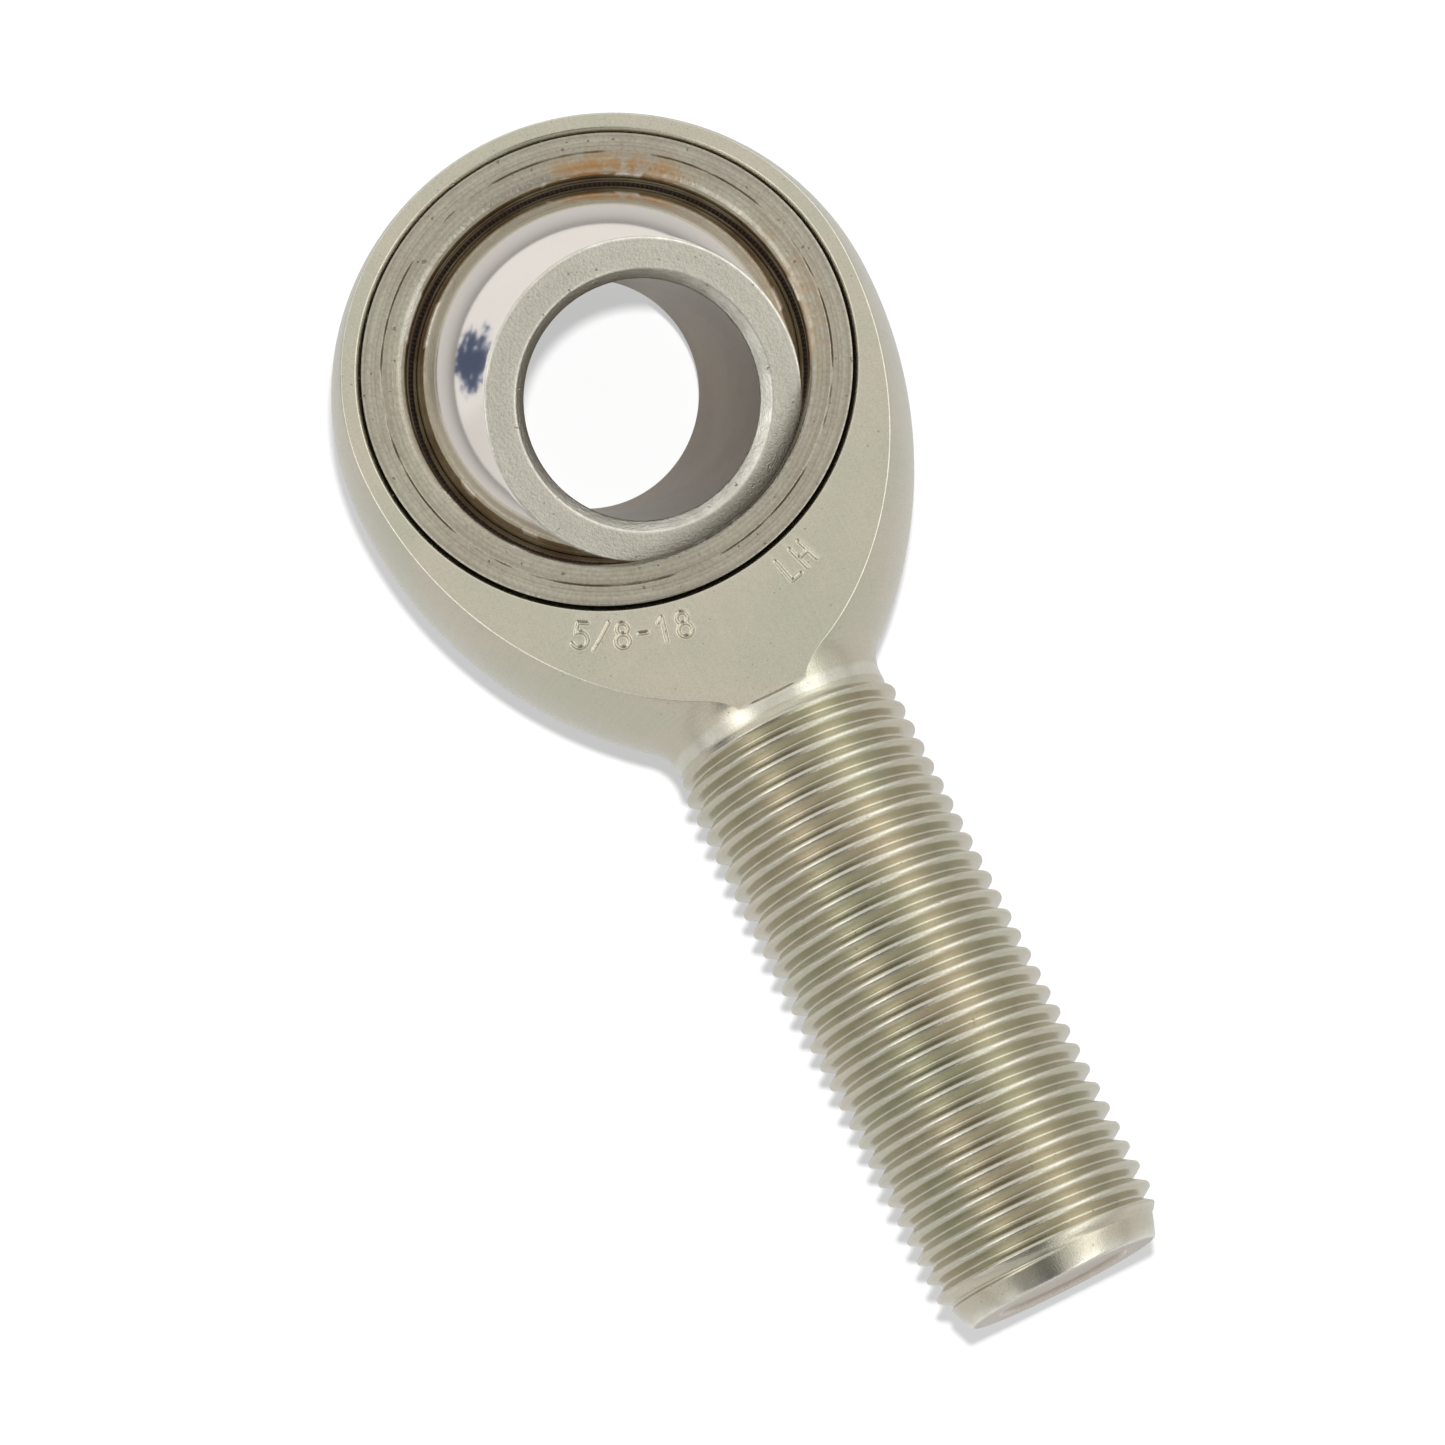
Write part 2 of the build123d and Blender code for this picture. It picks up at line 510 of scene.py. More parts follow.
@dataclass(frozen=True)
class MetalFinish:
    """A metal surface: two colours that drift into each other, specks, ring marks and worn edges.

    A metal surface: two colours that drift into each other, specks, ring marks, and worn edges whose bright
    colour also paints highlights.
    bearing about Z, as x and y, and a strength.
    """

    name: str
    base: Colour
    drift: Colour
    worn_and_highlit: Colour
    pit: Colour
    roughness: float
    roughness_spread: float
    grain_size: float = 0.12
    pit_share: float = 0.3
    grain_depth: float = 0.012
    ring_depth: float = 0.0
    ring_spacing: float = 0.15
    ring_shade: float = 0.0
    grain_shade: float = 0.25
    ring_wander: float = 0.4
    pit_shade: float = 0.55
    wear_gaps: float = 0.45
    wear_polish: float = 0.12
    oil_shade: float = 0.35
    stain_roughness: float = 0.3
    axis: tuple[float, float, float] = (0.0, 0.0, 1.0)
    stain: Colour | None = None
    oil: Colour = (0.18, 0.15, 0.06, 1.0)
    stain_spots: tuple[tuple[float, float, float], ...] = ()

    def make(self, groups: GroupShelf) -> bpy.types.Material:
        """Builds the material.

        Args:
            groups: the shared node groups.

        Returns:
            The material.
        """
        material = bpy.data.materials.new(self.name)
        material.use_nodes = True
        sheet = NodeSheet(material.node_tree)
        shader = material.node_tree.nodes["Principled BSDF"]
        shader.inputs["Metallic"].default_value = 1.0
        speck = place_group(sheet, groups.speckle, Grain_Size=self.grain_size, Pit_Share=self.pit_share)
        rings = place_group(
            sheet,
            groups.turning,
            Radius=reach(sheet, Vector(self.axis)),
            Spacing=self.ring_spacing,
            Wander=self.ring_wander,
        )["Rings"]
        worn_and_highlit = place_group(sheet, groups.wear_and_highlight, Amount=1.0, Break_Up=self.wear_gaps)["Wear And Highlight"]
        colour = sheet.blend(sheet.band(speck["Clouds"], 0.35, 0.68), self.base, self.drift)
        dark = sheet.math("MULTIPLY", sheet.band(rings, 0.35, 0.7), self.ring_shade)
        colour = sheet.blend(dark, colour, self.pit)
        grain = sheet.math("MULTIPLY", sheet.band(speck["Grain"], 0.35, 0.75), self.grain_shade)
        colour = sheet.blend(grain, colour, self.pit)
        colour = sheet.blend(sheet.math("MULTIPLY", speck["Pits"], self.pit_shade), colour, self.pit)
        rough = sheet.math("MULTIPLY_ADD", speck["Grain"], self.roughness_spread, self.roughness)
        if self.stain is not None:
            oil = place_group(sheet, groups.stain)["Oil"]
            colour = sheet.blend(sheet.math("MULTIPLY", oil, self.oil_shade), colour, self.oil)
            for bearing_x, bearing_y, strength in self.stain_spots:
                marks = place_group(sheet, groups.stain, Bearing_X=bearing_x, Bearing_Y=bearing_y)
                rust = sheet.math("MULTIPLY", marks["Rust"], strength)
                colour = sheet.blend(rust, colour, self.stain)
                rough = sheet.math("MULTIPLY_ADD", rust, self.stain_roughness, rough)
        colour = sheet.blend(worn_and_highlit, colour, self.worn_and_highlit)
        rough = sheet.math("MULTIPLY_ADD", worn_and_highlit, -self.wear_polish, rough)
        sheet.join(colour, shader.inputs["Base Color"])
        sheet.join(rough, shader.inputs["Roughness"])
        relief = sheet.math("MULTIPLY", speck["Grain"], self.grain_depth)
        relief = sheet.math("MULTIPLY_ADD", rings, self.ring_depth, relief)
        relief = sheet.math("MULTIPLY_ADD", speck["Pits"], -2.0 * self.grain_depth, relief)
        bump = sheet.add("ShaderNodeBump")
        bump.inputs["Strength"].default_value = 1.0
        bump.inputs["Distance"].default_value = MM
        sheet.join(relief, bump.inputs["Height"])
        sheet.join(bump.outputs[0], shader.inputs["Normal"])
        return material


@dataclass(frozen=True)
class WovenFinish:
    """The liner: a dark brown fabric whose weave shows at its edge; lengths in millimetres."""

    name: str
    thread: Colour
    gap: Colour
    roughness: float = 0.8
    pitch: float = 0.35
    sphere_radius: float = 14.3
    sheen: float = 0.15
    weave_height: float = 0.05
    fuzz_scale: float = 2500.0

    def make(self) -> bpy.types.Material:
        """Builds the material: two crossed wave patterns, taken round Z and along Z.

        Returns:
            The material.
        """
        material = bpy.data.materials.new(self.name)
        material.use_nodes = True
        sheet = NodeSheet(material.node_tree)
        shader = material.node_tree.nodes["Principled BSDF"]
        shader.inputs["Sheen Weight"].default_value = self.sheen
        parts = sheet.add("ShaderNodeSeparateXYZ")
        place = sheet.add("ShaderNodeTexCoord").outputs["Object"]
        sheet.join(place, parts.inputs[0])
        bearing = sheet.math("ARCTAN2", parts.outputs[1], parts.outputs[0])
        turns = TURN * self.sphere_radius / self.pitch
        around = sheet.math("SINE", sheet.math("MULTIPLY", bearing, turns))
        along = sheet.math("SINE", sheet.math("MULTIPLY", parts.outputs[2], TURN / (self.pitch * MM)))
        weave = sheet.band(sheet.math("MULTIPLY", around, along), -0.8, 0.8)
        fuzz = sheet.noise(place, self.fuzz_scale, 3.0, 0.6)
        mix = sheet.math("MULTIPLY", weave, fuzz)
        sheet.join(sheet.blend(mix, self.gap, self.thread), shader.inputs["Base Color"])
        sheet.join(sheet.math("MULTIPLY_ADD", fuzz, 0.2, self.roughness - 0.1), shader.inputs["Roughness"])
        bump = sheet.add("ShaderNodeBump")
        bump.inputs["Distance"].default_value = self.weave_height * MM
        sheet.join(mix, bump.inputs["Height"])
        sheet.join(bump.outputs[0], shader.inputs["Normal"])
        return material


# --------------------------------------------------------------------------- the finishes

# Its worn colour also paints a highlight on the neck.
PLATED_STEEL = MetalFinish(
    name="plated_steel",
    base=(0.60, 0.555, 0.445, 1),
    drift=(0.55, 0.54, 0.425, 1),
    worn_and_highlit=(0.78, 0.76, 0.68, 1),
    pit=(0.30, 0.27, 0.20, 1),
    roughness=0.17,
    roughness_spread=0.12,
    axis=(1.0, 0.0, 0.0),
    ring_depth=0.002,
    ring_shade=0.08,
)
SHEARED_END = MetalFinish(
    name="sheared_end",
    base=(0.42, 0.37, 0.31, 1),
    drift=(0.47, 0.42, 0.35, 1),
    worn_and_highlit=(0.62, 0.57, 0.48, 1),
    pit=(0.22, 0.17, 0.14, 1),
    roughness=0.28,
    roughness_spread=0.15,
    grain_depth=0.02,
    axis=(1.0, 0.0, 0.0),
    ring_depth=0.01,
)
# Painted shade: the race's inner mouth wall is darkened in its colour to stand for the shade in the gap by
# the ball.
SHADED_MOUTH = MetalFinish(
    name="shaded_mouth",
    base=(0.21, 0.18, 0.11, 1),
    drift=(0.13, 0.09, 0.055, 1),
    worn_and_highlit=(0.6, 0.57, 0.5, 1),
    pit=(0.05, 0.03, 0.02, 1),
    roughness=0.3,
    roughness_spread=0.2,
    grain_depth=0.02,
)
# Its very pale worn colour paints both the rubbed lip and a highlight ring along it.
RACE_STEEL = MetalFinish(
    name="race_steel",
    base=(0.45, 0.41, 0.33, 1),
    drift=(0.49, 0.47, 0.37, 1),
    worn_and_highlit=(0.84, 0.83, 0.77, 1),
    pit=(0.16, 0.13, 0.10, 1),
    roughness=0.26,
    roughness_spread=0.14,
    grain_size=0.24,
    grain_depth=0.04,
    grain_shade=0.32,
    ring_depth=0.07,
    ring_spacing=0.34,
    ring_shade=0.5,
    stain=(0.40, 0.19, 0.035, 1),
    stain_spots=((-0.87, 0.49, 1.0), (0.10, 0.995, 0.5)),
)
MIRROR_CHROME = MetalFinish(
    name="mirror_chrome",
    base=(0.80, 0.745, 0.685, 1),
    drift=(0.77, 0.72, 0.665, 1),
    worn_and_highlit=(0.85, 0.85, 0.85, 1),
    pit=(0.76, 0.70, 0.64, 1),
    roughness=0.06,
    roughness_spread=0.05,
    grain_depth=0.0006,
    pit_share=0.1,
)
# Its pale worn colour also paints the highlight lines on the ball's chamfer and rim.
SATIN_FACE = MetalFinish(
    name="satin_face",
    base=(0.57, 0.54, 0.455, 1),
    drift=(0.52, 0.50, 0.42, 1),
    worn_and_highlit=(0.85, 0.82, 0.74, 1),
    pit=(0.25, 0.23, 0.19, 1),
    roughness=0.33,
    roughness_spread=0.16,
    grain_size=0.2,
    grain_depth=0.032,
    grain_shade=0.28,
    ring_depth=0.010,
    ring_shade=0.2,
)
# A brownish steel tone darkened with painted shade, standing for the shade inside the ball's bore.
SHADED_BORE = MetalFinish(
    name="shaded_bore",
    base=(0.215, 0.160, 0.095, 1),
    drift=(0.17, 0.125, 0.075, 1),
    worn_and_highlit=(0.8, 0.76, 0.66, 1),
    pit=(0.12, 0.09, 0.06, 1),
    roughness=0.30,
    roughness_spread=0.12,
    grain_depth=0.01,
)
WOVEN_LINER = WovenFinish("woven_liner", thread=(0.10, 0.055, 0.03, 1), gap=(0.015, 0.008, 0.006, 1))


def place_piece(
    piece: bpy.types.Object, materials: list[bpy.types.Material], node: str, body: Body
) -> None:
    """Gives a piece its materials, its body and the CAD node that it stands for.

    Args:
        piece: the piece.
        materials: one material for each zone.
        node: the CAD node's name.
        body: the body that it rides on.
    """
    for material in materials:
        piece.data.materials.append(material)
    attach(piece, body.value)
    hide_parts(node)
    log.info("%s rides on %s and stands for %s", piece.name, body.value, node)


# --------------------------------------------------------------------------- the pieces


@dataclass
class SizeMark:
    """The thread size, stamped into the face in plain strokes round the bore, in millimetres.

    Each sign is drawn in a box 0.62 wide and 1 high, as runs of points from foot to top.
    """

    foot_radius: float = 19.2
    height: float = 1.7
    advance: float = 1.42
    stroke: float = 0.15
    depth: float = 0.16
    lip_height: float = 0.028
    lip_width: float = 0.06
    words: tuple[tuple[str, float], ...] = (("5/8-18", -32.5), ("LH", 13.0))

    def signs(self) -> dict[str, list[np.ndarray]]:
        """The strokes of each sign; round parts are arcs of circles.

        Returns:
            For each sign, its runs of points, n by 2.
        """
        bowl = np.array([0.27, 0.32]) + arc_points(0.32, math.radians(125), math.radians(-150), 12)
        upper = np.array([0.31, 0.76]) + arc_points(0.23, 0.0, TURN, 12)
        lower = np.array([0.31, 0.27]) + arc_points(0.28, 0.0, TURN, 14)
        return {
            "5": [np.array([(0.56, 1.0), (0.12, 1.0), (0.08, 0.57)]), bowl],
            "/": [np.array([(0.0, -0.05), (0.6, 1.05)])],
            "8": [upper, lower],
            "-": [np.array([(0.12, 0.5), (0.5, 0.5)])],
            "1": [np.array([(0.12, 0.8), (0.34, 1.0), (0.34, 0.0)])],
            "L": [np.array([(0.1, 1.0), (0.1, 0.0), (0.56, 0.0)])],
            "H": [
                np.array([(0.06, 0.0), (0.06, 1.0)]),
                np.array([(0.56, 0.0), (0.56, 1.0)]),
                np.array([(0.06, 0.5), (0.56, 0.5)]),
            ],
        }

    def depth_at(self, bearing: np.ndarray, radius: np.ndarray) -> np.ndarray:
        """Depth of the stamped strokes: a rounded groove with a faint raised lip.

        The bearing round the bore times the foot radius runs along the words, and the distance
        in from the foot radius runs up them. Depth falls smoothly with the distance to the
        nearest stroke.

        Args:
            bearing: angles about Z from +X.
            radius: distances from Z.

        Returns:
            The depths below the face.
        """
        along = bearing * self.foot_radius
        up = self.foot_radius - radius
        nearest = np.full(bearing.shape, self.foot_radius)
        signs = self.signs()
        for word, start in self.words:
            place = math.radians(start) * self.foot_radius
            for sign in word:
                for run in signs[sign]:
                    points = run * self.height + [place, 0.0]
                    for a, b in zip(points[:-1], points[1:]):
                        step = b - a
                        t = ((along - a[0]) * step[0] + (up - a[1]) * step[1]) / (step @ step)
                        t = np.clip(t, 0.0, 1.0)
                        gap = np.hypot(along - a[0] - t * step[0], up - a[1] - t * step[1])
                        nearest = np.minimum(nearest, gap)
                place += self.advance
        groove = self.depth * smooth_step(1.0 - nearest / self.stroke)
        beyond = (nearest - self.stroke) / self.lip_width - 1.0
        lip = self.lip_height * np.exp(-(beyond**2))
        return groove - lip


@dataclass
class ThreadedBody:
    """The forged head and its threaded shank, in millimetres.

    The tooth's places and heights are shares of the pitch and of the thread's depth. The neck's
    rows are shares of the way from the head to the thread.
    """

    head_radius: float = 19.05
    half_width: float = 7.1374
    underside_radius: float = 30.5
    neck_radius: float = 7.48
    neck_blend: float = 3.0
    facing_radius: float = 24.7
    facing_search: float = 20.0
    seat_radius: float = 15.875
    seat_chamfer: float = 0.78
    edge_round: float = 0.10
    edge_fade: float = 3.0
    corner_steps: int = 4
    length: float = 66.675
    pitch: float = 25.4 / 18
    crest_radius: float = 7.89
    root_radius: float = 7.07
    crest_at: float = 28.16
    thread_end: float = 65.25
    thread_turns: int = 28
    tooth_places: tuple[float, ...] = (0.0, 0.05, 0.10, 0.25, 0.405, 0.455, 0.5)
    tooth_heights: tuple[float, ...] = (0.0, 0.025, 0.10, 0.52, 0.935, 0.985, 1.0)
    run_out: float = 1.3
    run_out_power: float = 1.5
    crest_softness: float = 0.03
    end_blend: float = 0.28
    nick_seed: int = 18
    nick_share: float = 0.035
    nick_depth: float = 0.045
    taper_radius: float = 7.17
    tip_radius: float = 6.65
    dimple_radius: float = 4.5
    dimple_depth: float = 0.25
    rim_wear: float = 0.12
    dimple_wear: float = 0.1
    edge_wear: float = 0.6
    mouth_wear: float = 0.5
    mouth_wear_width: float = 0.05
    neck_painted_highlight: float = 0.55
    neck_rows: tuple[float, ...] = (0.0, 0.04, 0.1, 0.18, 0.28, 0.4, 0.52, 0.65, 0.8, 0.93, 1.0)
    side_steps: int = 36
    top_columns: int = 14
    far_columns: int = 140
    mark_columns: int = 112
    plain_columns: int = 36
    mark_spread: float = math.radians(35.0)

    @property
    def thread_start(self) -> float:
        """Where the thread's first turn begins."""
        return self.thread_end - self.thread_turns * self.pitch

    def radius_at(self, x: np.ndarray) -> np.ndarray:
        """Radius about the shank's axis on the +X side of the head.

        A long arc runs from the widest point; a blend circle, tangent to that arc and to the
        neck's line, takes it into the plain neck.

        Args:
            x: places along the shank, 0 or more.

        Returns:
            The radius at each place.
        """
        drop = self.underside_radius - self.head_radius
        centre_y = self.neck_radius + self.neck_blend
        between = self.underside_radius + self.neck_blend
        centre_x = math.sqrt(between**2 - (centre_y + drop) ** 2)
        tangent_x = centre_x * self.underside_radius / between
        arc = np.sqrt(np.maximum(self.underside_radius**2 - x**2, 0.0)) - drop
        blend = centre_y - np.sqrt(np.maximum(self.neck_blend**2 - (x - centre_x) ** 2, 0.0))
        return np.where(x < tangent_x, arc, np.where(x < centre_x, blend, self.neck_radius))

    def facing_end(self) -> tuple[float, float]:
        """Where the facing cut's end meets the face's outline.

        It is the point of the outline whose distance from the bore's axis is the facing radius.

        Returns:
            Its x and y, with y above 0.
        """
        x = np.linspace(self.facing_search, self.facing_radius, 4000)
        y = np.sqrt(np.maximum(self.radius_at(x) ** 2 - self.half_width**2, 0.0))
        place = int(np.argmin(np.abs(np.hypot(x, y) - self.facing_radius)))
        return float(x[place]), float(y[place])

    def outline(self) -> tuple[np.ndarray, np.ndarray]:
        """The face's outline from the facing's end on +Y, round the head, to its end on -Y.

        Beside the shank y is the square root of radius squared less half width squared, taken
        at close bearings where the size mark is and at wider ones beyond it. On the far half
        the head is a ball, so the outline is a circle about Z.

        Returns:
            The outline, n by 2, and for each point whether it lies on the far half.
        """
        end_x, end_y = self.facing_end()
        dense = np.linspace(0.0, end_x, 6000)
        across = np.sqrt(self.radius_at(dense) ** 2 - self.half_width**2)
        bearing = np.arctan2(across, dense)
        first = math.atan2(end_y, end_x)
        close = np.linspace(first, self.mark_spread, self.mark_columns, endpoint=False)
        wide = np.linspace(self.mark_spread, math.pi / 2, self.plain_columns, endpoint=False)
        x = np.interp(-np.concatenate([close, wide]), -bearing, dense)
        x[0] = end_x
        y = np.sqrt(self.radius_at(x) ** 2 - self.half_width**2)
        near = np.stack([x, y], axis=1)
        angle = np.linspace(math.pi / 2, 1.5 * math.pi, self.far_columns + 1)
        flat_radius = math.sqrt(self.head_radius**2 - self.half_width**2)
        far = flat_radius * np.stack([np.cos(angle), np.sin(angle)], axis=1)
        other = (near * [1, -1])[::-1]
        points = np.concatenate([near, far, other])
        ball = np.repeat([False, True, False], [len(near), len(far), len(near)])
        return points, ball

    def side_band(self, line: np.ndarray, ball: np.ndarray, size: np.ndarray) -> np.ndarray:
        """The rounded side between the two face outlines.

        Beside the shank each column is an arc about the shank's axis at one x. On the far half
        it is a meridian of the ball. Both ends turn into the faces through a small rounding.

        Args:
            line: the outline.
            ball: whether each column lies on the far half.
            size: the rounding's size at each column.

        Returns:
            The grid, from the upper face to the lower, rows by columns by 3.
        """
        h = self.half_width
        x, y = line[:, 0], line[:, 1]
        radius = np.where(ball, self.head_radius, np.hypot(y, h))
        edge_angle = np.arcsin(h / radius)
        arc_end = edge_angle - size / radius
        turn = np.linspace(1.0, -1.0, self.side_steps + 1)[:, None] * arc_end
        flat = radius * np.cos(turn)
        height = radius * np.sin(turn)
        outward = line / np.linalg.norm(line, axis=1)[:, None]
        arc = np.where(
            ball[None, :, None],
            np.stack([flat * outward[:, 0], flat * outward[:, 1], height], axis=-1),
            np.stack([np.broadcast_to(x, flat.shape), flat * np.sign(y), height], axis=-1),
        )
        corner = np.stack([x, y, np.full_like(x, h)], axis=1)
        inward = np.stack([-outward[:, 0], -outward[:, 1], np.zeros_like(x)], axis=1)
        start = corner + inward * size[:, None]
        upper = bend(start, corner, arc[0], self.corner_steps)
        lower = (upper * [1, 1, -1])[::-1]
        return np.concatenate([upper[:-1], arc, lower[1:]])

    def face_rows(self, edge: np.ndarray, mark: SizeMark | None) -> np.ndarray:
        """The upper face from its outline in to the bore's chamfer, then down to mid-height.

        Each column runs straight towards the bore's axis, so the face stays flat. Rows lie
        close together, at fixed distances from the mouth, where the size mark is; round the
        far half they draw together in proportion to the face's width.

        Args:
            edge: the closed outline where the face starts, n by 3.
            mark: the stamped size mark, or None for a plain face.

        Returns:
            The grid, rows by columns by 3.
        """
        mouth = self.seat_radius + self.seat_chamfer
        rim = np.linalg.norm(edge[:, :2], axis=1)
        outward = edge[:, :2] / rim[:, None]
        inner, outer = 0.55, 2.9
        share = np.minimum(1.0, (rim - mouth) / (outer + 0.8))
        steps = 30 if mark else 4
        middle = mouth + np.linspace(outer, inner, steps)[:, None] * share
        border = rim + (middle[0] - rim) * np.array([0.0, 0.06, 0.35, 0.7])[:, None]
        flat_end = np.full((1, len(edge)), mouth + 0.1)
        radius = np.concatenate([border, middle, flat_end])
        plane = outward[None] * radius[..., None]
        depth = np.zeros_like(radius)
        if mark is not None:
            depth = mark.depth_at(np.arctan2(plane[..., 1], plane[..., 0]), radius)
        top = np.concatenate([plane, self.half_width - depth[..., None]], axis=-1)
        h, c = self.half_width, self.seat_chamfer
        wall = np.array(
            [
                (mouth + 0.04, h - 0.004),
                (mouth, h - 0.03),
                (mouth - 0.04, h - 0.075),
                (self.seat_radius + 0.1, h - c + 0.1),
                (self.seat_radius, h - c),
                (self.seat_radius, h - c - 0.1),
                (self.seat_radius, 3.0),
                (self.seat_radius, 0.0),
            ]
        )
        rings = outward[None] * wall[:, 0, None, None]
        tall = np.broadcast_to(wall[:, 1, None, None], rings.shape[:2] + (1,))
        return np.concatenate([top, np.concatenate([rings, tall], axis=-1)])

    def tooth(self, phase: np.ndarray) -> np.ndarray:
        """Thread height across one pitch, from 0 at the root to 1 at the crest.

        Straight flanks join a rounded root and a narrow rounded crest, the same on both sides.

        Args:
            phase: phases across the pitch, from 0 to 1.

        Returns:
            The heights.
        """
        return np.interp(0.5 - np.abs(phase - 0.5), self.tooth_places, self.tooth_heights)

    def shank_radius(self, x: np.ndarray, phase: np.ndarray) -> np.ndarray:
        """Radius of the threaded shank.

        The tooth's height runs between root and crest. It grows out of the plain neck over the
        first turns, and near the end the crest comes down to the taper.

        Args:
            x: places along the shank.
            phase: phases across the pitch, of the same shape.

        Returns:
            The radii.
        """
        height = self.root_radius + (self.crest_radius - self.root_radius) * self.tooth(phase)
        begin = smooth_step((x - self.thread_start) / self.run_out)
        height = self.neck_radius + (height - self.neck_radius) * begin
        done = np.clip((x - self.thread_end) / self.run_out + 1.0, 0.0, 1.0)
        fall = done**self.run_out_power
        limit = self.crest_radius + (self.taper_radius - self.crest_radius) * fall
        soft = self.crest_softness
        height = -soft * np.logaddexp(-height / soft, -limit / soft)
        near_end = smooth_step((x - self.thread_end) / self.end_blend + 1.0)
        return height + (self.taper_radius - height) * near_end

    def thread_grid(self, columns: int, first_angle: float) -> tuple[np.ndarray, np.ndarray]:
        """The thread as one helical strip, a pitch wide, wound left-handed round the shank.

        The angle falls by one turn each pitch along +X. The strip's upper edge lies on the next
        turn's lower edge. In the first turn its lower edge stays on the neck's ring, and in the
        last turn its upper edge stays on the taper's ring, so both ends close. Here and there the
        crest has a small nick, drawn from a seeded generator.

        Args:
            columns: steps in one turn.
            first_angle: the angle about +X, from +Y towards +Z, where the strip begins.

        Returns:
            The grid, phases by steps by 3, and its wear marks.
        """
        rise = np.array(self.tooth_places)
        phase = np.concatenate([rise, 1.0 - rise[-2::-1]])
        turns = self.thread_turns + 1
        u = np.arange(turns * columns + 1) / columns - 1.0
        start, stop = self.thread_start, self.thread_end
        lower = start + self.pitch * np.maximum(u, 0.0)
        upper = np.minimum(start + self.pitch * (u + 1.0), stop)
        x = lower + (upper - lower) * phase[:, None]
        true_phase = np.mod((x - start) / self.pitch - u, 1.0)
        inside = (u > 0) & (u < turns - 2)
        true_phase = np.where(inside, phase[:, None], true_phase)
        radius = self.shank_radius(x, true_phase)
        draw = np.random.default_rng(self.nick_seed)
        nick = np.where(draw.random(len(u)) < self.nick_share, draw.uniform(0.3, 1.0, len(u)), 0.0)
        nick *= (u > 1) & (u < turns - 3)
        radius = radius - self.nick_depth * nick * smooth_step((self.tooth(true_phase) - 0.9) / 0.08)
        angle = first_angle - TURN * u
        grid = np.stack([x, radius * np.cos(angle), radius * np.sin(angle)], axis=-1)
        crest = 0.3 * smooth_step((self.tooth(true_phase) - 0.95) / 0.05)
        strong = smooth_step((x - start - 1.0) / 3.0)
        return grid, crest * strong

    def facing_cut(self, band: np.ndarray, line: np.ndarray) -> np.ndarray:
        """The edge where the facing cut ends above the neck, from -Y to +Y.

        Its points lie at the facing radius from the bore's axis, at even angles about the
        shank's axis, and are eased to meet the outline's two ends.

        Args:
            band: the head's side, whose first and last columns it joins.
            line: the outline.

        Returns:
            The points, n by 3.
        """
        end_x, _ = self.facing_end()
        limit = math.asin(self.half_width / float(np.hypot(line[0, 1], self.half_width)))
        angle = np.linspace(math.pi - limit, limit, self.top_columns + 1)
        y = self.half_width / np.tan(angle)
        x = np.sqrt(self.facing_radius**2 - y**2)
        x += (end_x - x[0]) * (np.abs(y) / abs(y[0])) ** 2
        cut = np.stack([x, y, np.full_like(x, self.half_width)], axis=1)
        cut[0], cut[-1] = band[0, -1], band[0, 0]
        return cut

    def neck_grid(self, loop: np.ndarray) -> tuple[np.ndarray, np.ndarray, float]:
        """The neck, from the ring where the head ends to the thread's first ring.

        Each column moves from its own angle to one of a set of even angles, and its radius
        from its own to that of the neck. The even angles are set so that a crest points
        straight up where the crest-at length says.

        Args:
            loop: the ring where the head ends, n by 3.

        Returns:
            The grid, the painted highlight of its rows, carried as wear marks, and the angle where the thread
            begins.
        """
        columns = len(loop)
        own_angle = np.unwrap(np.arctan2(loop[:, 2], loop[:, 1]))
        step = TURN / columns
        wanted = TURN * (self.crest_at - self.thread_start) / self.pitch - math.pi
        apex = int(round((own_angle[0] - wanted) / step)) % columns
        even_angle = wanted + step * apex - step * np.arange(columns)
        even_angle += TURN * round((own_angle[0] - even_angle[0]) / TURN)
        share = np.array(self.neck_rows)[:, None]
        x = loop[:, 0] + (self.thread_start - loop[:, 0]) * share
        turn = own_angle + (even_angle - own_angle) * smooth_step(share)
        gap = np.hypot(loop[:, 1], loop[:, 2]) - self.radius_at(loop[:, 0])
        radius = self.radius_at(x) + gap * (1.0 - smooth_step(share / 0.34))
        neck = np.stack([x, radius * np.cos(turn), radius * np.sin(turn)], axis=-1)
        neck[0] = loop
        # Painted highlight: the neck is brightened with the worn colour to stand for the reflections on it.
        painted_highlight = self.neck_painted_highlight * smooth_step((share - 0.1) / 0.3)
        return neck, painted_highlight, float(even_angle[apex])

    def build(self) -> bpy.types.Object:
        """Builds the whole body as one closed mesh.

        Returns:
            The piece.
        """
        shape = Surface()
        line, ball = self.outline()
        end_x, _ = self.facing_end()
        size = self.edge_round * smooth_step((end_x - line[:, 0]) / self.edge_fade) + 1e-4
        size[[0, -1]] = 0.0
        band = self.side_band(line, ball, size)
        worn_edge = np.zeros(band.shape[:2])
        worn_edge[1:4] = worn_edge[-4:-1] = self.edge_wear
        shape.add_grid(band, mark=worn_edge)
        # the two faces and the seat between them
        cut = self.facing_cut(band, line)
        edge = np.concatenate([band[0], cut[1:-1]])
        upper = self.face_rows(edge, SizeMark())
        lower = (self.face_rows(edge, None) * [1, 1, -1])[::-1]
        ring = np.concatenate([upper, lower[1:]])
        past_mouth = np.hypot(ring[..., 0], ring[..., 1]) - self.seat_radius - self.seat_chamfer
        worn_mouth = self.mouth_wear * np.exp(-((past_mouth / self.mouth_wear_width) ** 2))
        shape.add_grid(ring, closed=True, flip=True, mark=worn_mouth)
